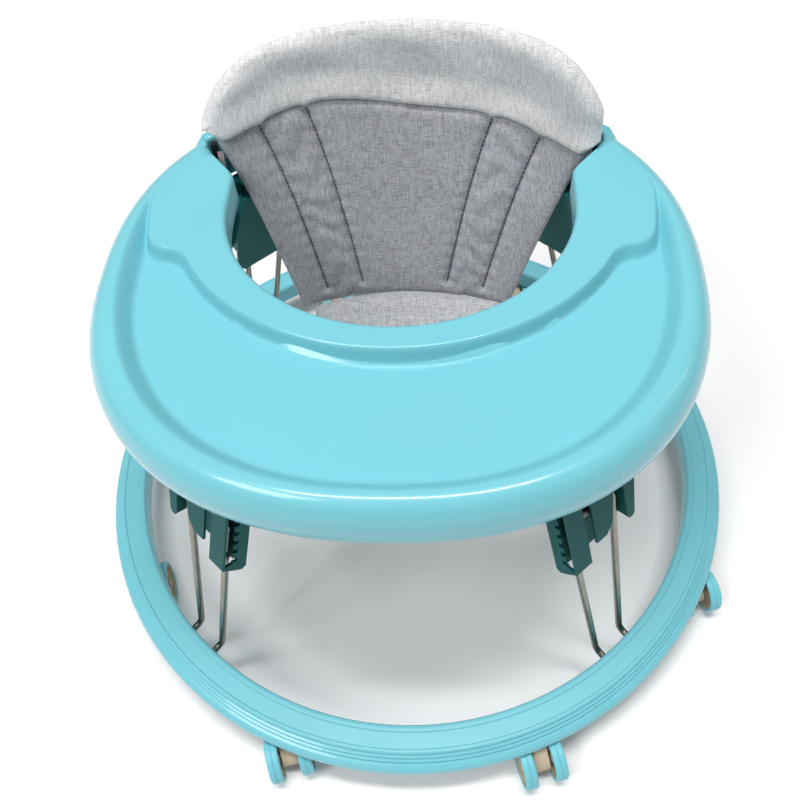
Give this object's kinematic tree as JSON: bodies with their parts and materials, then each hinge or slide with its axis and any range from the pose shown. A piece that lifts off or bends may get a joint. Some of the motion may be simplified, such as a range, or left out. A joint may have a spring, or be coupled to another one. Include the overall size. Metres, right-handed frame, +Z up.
{
  "type": "baby walker",
  "caption": "Round baby walker: ring on swivel casters, wire legs on height racks, play tray and padded fabric seat",
  "frame": {"origin": "centre of the base ring on the floor", "axes": "-Y is the front, where the play recess is; +Y the backrest; +Z up"},
  "size_m": [0.6219, 0.6271, 0.437],
  "materials": {
    "teal_plastic": "semi-gloss moulded plastic",
    "tray_plastic": "glossy moulded plastic",
    "deep_teal_plastic": "satin moulded plastic",
    "wheel_teal": "satin",
    "beige_plastic": "satin",
    "steel_wire": "bright drawn wire",
    "screw_steel": "brushed",
    "seat_fabric": "grey melange weave",
    "back_board": "matte",
    "black_plastic": "satin",
    "webbing": "woven tape"
  },
  "bodies": {
    "base": {"base_ring": "teal_plastic", "leg_clamps": "deep_teal_plastic", "clamp_screws": "screw_steel"},
    "leg_fr": {"leg_loop_fr": "steel_wire"},
    "leg_fl": {"leg_loop_fl": "steel_wire"},
    "leg_rr": {"leg_loop_rr": "steel_wire"},
    "leg_rl": {"leg_loop_rl": "steel_wire"},
    "upper": {"bracket_fr": "deep_teal_plastic", "bracket_fl": "deep_teal_plastic", "bracket_rr": "deep_teal_plastic", "bracket_rl": "deep_teal_plastic", "bracket_screws": "screw_steel", "tray_shell": "tray_plastic", "tray_under": "deep_teal_plastic", "backrest_board": "back_board", "back_cover": "seat_fabric", "back_panel": "seat_fabric", "seat_pad": "seat_fabric", "crotch_panel": "seat_fabric", "seat_clips": "black_plastic", "corner_clips": "black_plastic", "strap_ends": "webbing"},
    "swivel_1": {"caster_housing_1": "beige_plastic"},
    "wheels_1": {"caster_axle_1": "screw_steel", "caster_hubs_1": "beige_plastic", "caster_tyres_1": "wheel_teal"},
    "swivel_2": {"caster_housing_2": "beige_plastic"},
    "wheels_2": {"caster_axle_2": "screw_steel", "caster_hubs_2": "beige_plastic", "caster_tyres_2": "wheel_teal"},
    "swivel_3": {"caster_housing_3": "beige_plastic"},
    "wheels_3": {"caster_axle_3": "screw_steel", "caster_hubs_3": "beige_plastic", "caster_tyres_3": "wheel_teal"},
    "swivel_4": {"caster_housing_4": "beige_plastic"},
    "wheels_4": {"caster_axle_4": "screw_steel", "caster_hubs_4": "beige_plastic", "caster_tyres_4": "wheel_teal"},
    "swivel_5": {"caster_housing_5": "beige_plastic"},
    "wheels_5": {"caster_axle_5": "screw_steel", "caster_hubs_5": "beige_plastic", "caster_tyres_5": "wheel_teal"},
    "swivel_6": {"caster_housing_6": "beige_plastic"},
    "wheels_6": {"caster_axle_6": "screw_steel", "caster_hubs_6": "beige_plastic", "caster_tyres_6": "wheel_teal"},
    "swivel_7": {"caster_housing_7": "beige_plastic"},
    "wheels_7": {"caster_axle_7": "screw_steel", "caster_hubs_7": "beige_plastic", "caster_tyres_7": "wheel_teal"},
    "swivel_8": {"caster_housing_8": "beige_plastic"},
    "wheels_8": {"caster_axle_8": "screw_steel", "caster_hubs_8": "beige_plastic", "caster_tyres_8": "wheel_teal"}
  },
  "joints": [
    {"name": "tray_height", "type": "slide", "parent": "base", "child": "upper", "axis": [0, 0, 1], "range_m": [-0.0335, 0.0446]},
    {"name": "leg_fr_lean", "type": "hinge", "parent": "base", "child": "leg_fr", "pos_m": [0.19271, -0.21403, 0.049], "axis": [-0.7431, -0.6691, 0], "range_deg": [-5, 5]},
    {"name": "leg_fl_lean", "type": "hinge", "parent": "base", "child": "leg_fl", "pos_m": [-0.19271, -0.21403, 0.049], "axis": [-0.7431, 0.6691, 0], "range_deg": [-5, 5]},
    {"name": "leg_rr_lean", "type": "hinge", "parent": "base", "child": "leg_rr", "pos_m": [0.19271, 0.21403, 0.049], "axis": [0.7431, -0.6691, 0], "range_deg": [-5, 5]},
    {"name": "leg_rl_lean", "type": "hinge", "parent": "base", "child": "leg_rl", "pos_m": [-0.19271, 0.21403, 0.049], "axis": [0.7431, 0.6691, 0], "range_deg": [-5, 5]},
    {"name": "caster_swivel_1", "type": "hinge", "parent": "base", "child": "swivel_1", "pos_m": [0.11021, -0.26608, 0.05], "axis": [0, 0, 1], "continuous": true},
    {"name": "wheel_roll_1", "type": "hinge", "parent": "swivel_1", "child": "wheels_1", "pos_m": [0.11781, -0.29094, 0.021], "axis": [-0.9563, -0.2924, 0], "continuous": true},
    {"name": "caster_swivel_2", "type": "hinge", "parent": "base", "child": "swivel_2", "pos_m": [0.26608, -0.11021, 0.05], "axis": [0, 0, 1], "continuous": true},
    {"name": "wheel_roll_2", "type": "hinge", "parent": "swivel_2", "child": "wheels_2", "pos_m": [0.27368, -0.13508, 0.021], "axis": [-0.9563, -0.2924, 0], "continuous": true},
    {"name": "caster_swivel_3", "type": "hinge", "parent": "base", "child": "swivel_3", "pos_m": [0.26608, 0.11021, 0.05], "axis": [0, 0, 1], "continuous": true},
    {"name": "wheel_roll_3", "type": "hinge", "parent": "swivel_3", "child": "wheels_3", "pos_m": [0.27368, 0.08535, 0.021], "axis": [-0.9563, -0.2924, 0], "continuous": true},
    {"name": "caster_swivel_4", "type": "hinge", "parent": "base", "child": "swivel_4", "pos_m": [0.11021, 0.26608, 0.05], "axis": [0, 0, 1], "continuous": true},
    {"name": "wheel_roll_4", "type": "hinge", "parent": "swivel_4", "child": "wheels_4", "pos_m": [0.11781, 0.24121, 0.021], "axis": [-0.9563, -0.2924, 0], "continuous": true},
    {"name": "caster_swivel_5", "type": "hinge", "parent": "base", "child": "swivel_5", "pos_m": [-0.11021, 0.26608, 0.05], "axis": [0, 0, 1], "continuous": true},
    {"name": "wheel_roll_5", "type": "hinge", "parent": "swivel_5", "child": "wheels_5", "pos_m": [-0.10261, 0.24121, 0.021], "axis": [-0.9563, -0.2924, 0], "continuous": true},
    {"name": "caster_swivel_6", "type": "hinge", "parent": "base", "child": "swivel_6", "pos_m": [-0.26608, 0.11021, 0.05], "axis": [0, 0, 1], "continuous": true},
    {"name": "wheel_roll_6", "type": "hinge", "parent": "swivel_6", "child": "wheels_6", "pos_m": [-0.25848, 0.08535, 0.021], "axis": [-0.9563, -0.2924, 0], "continuous": true},
    {"name": "caster_swivel_7", "type": "hinge", "parent": "base", "child": "swivel_7", "pos_m": [-0.26608, -0.11021, 0.05], "axis": [0, 0, 1], "continuous": true},
    {"name": "wheel_roll_7", "type": "hinge", "parent": "swivel_7", "child": "wheels_7", "pos_m": [-0.25848, -0.13508, 0.021], "axis": [-0.9563, -0.2924, 0], "continuous": true},
    {"name": "caster_swivel_8", "type": "hinge", "parent": "base", "child": "swivel_8", "pos_m": [-0.11021, -0.26608, 0.05], "axis": [0, 0, 1], "continuous": true},
    {"name": "wheel_roll_8", "type": "hinge", "parent": "swivel_8", "child": "wheels_8", "pos_m": [-0.10261, -0.29094, 0.021], "axis": [-0.9563, -0.2924, 0], "continuous": true}
  ],
  "couplings": [
    {"joint": "leg_fr_lean", "follows": "tray_height", "rad_per_m": -1.5784},
    {"joint": "leg_fl_lean", "follows": "tray_height", "rad_per_m": -1.5784},
    {"joint": "leg_rr_lean", "follows": "tray_height", "rad_per_m": -1.5784},
    {"joint": "leg_rl_lean", "follows": "tray_height", "rad_per_m": -1.5784}
  ]
}
